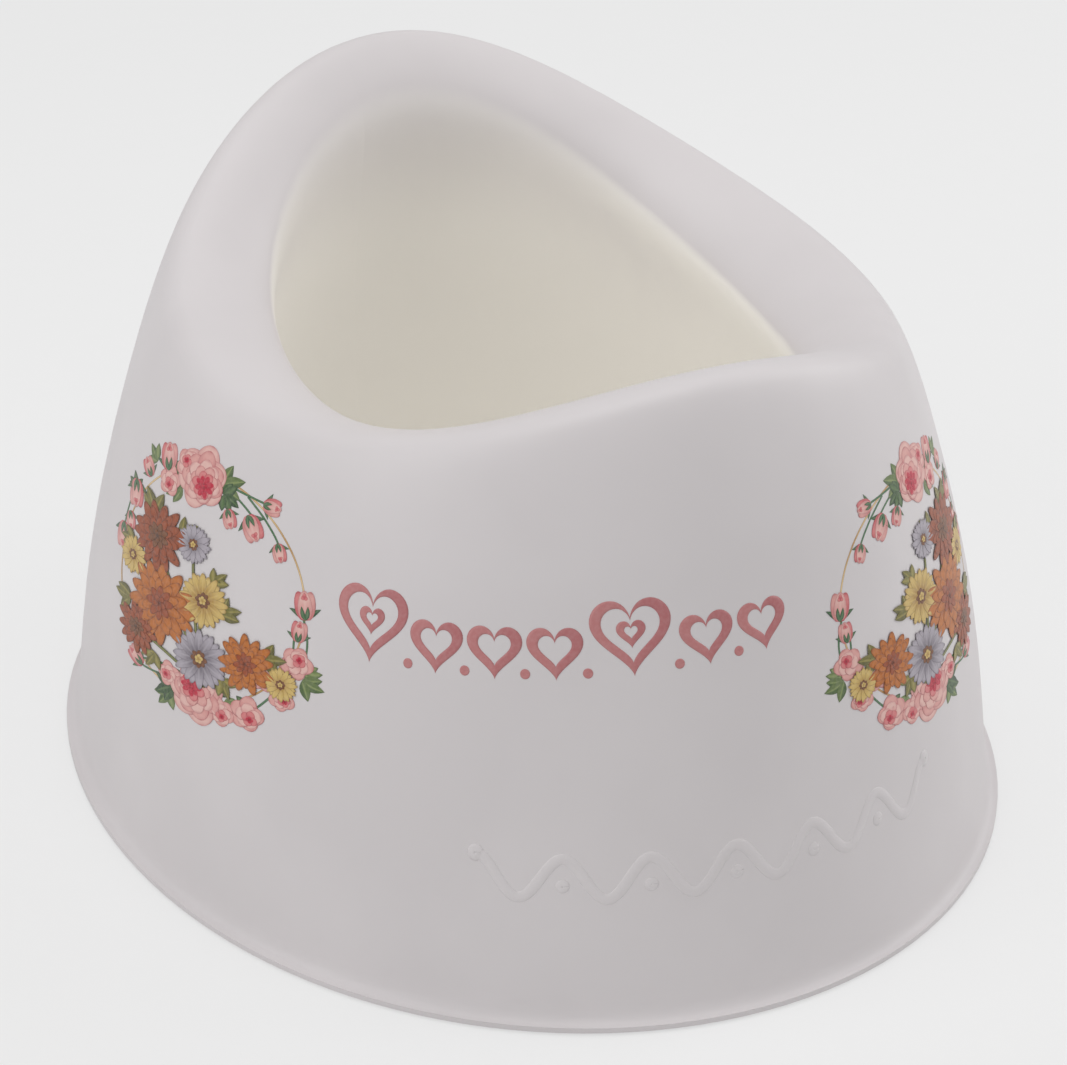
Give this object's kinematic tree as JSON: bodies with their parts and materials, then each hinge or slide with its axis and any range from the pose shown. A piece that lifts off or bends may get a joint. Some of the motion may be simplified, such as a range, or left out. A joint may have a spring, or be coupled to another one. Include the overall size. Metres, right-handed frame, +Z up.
{
  "type": "potty training chair",
  "caption": "One-piece moulded potty with a high back, a raised splash guard, rubber feet and floral prints.",
  "frame": {"origin": "on the floor under the middle of the base", "axes": "+Z up; -Y towards the front, where the splash guard is; +X to the right as seen from the front"},
  "size_m": [0.299, 0.3426, 0.2055],
  "materials": {
    "potty_plastic": "satin off-white, fine moulded texture",
    "foot_rubber": "soft matt grey",
    "flower_print": "printed film, pink roses and green leaves",
    "heart_print": "printed film, dusty rose"
  },
  "bodies": {
    "root": {"potty_shell": "potty_plastic", "foot_front_left": "foot_rubber", "foot_front_right": "foot_rubber", "foot_rear_left": "foot_rubber", "foot_rear_right": "foot_rubber", "wreath_print_left": "flower_print", "wreath_print_right": "flower_print", "heart_row_print": "heart_print"}
  },
  "joints": []
}
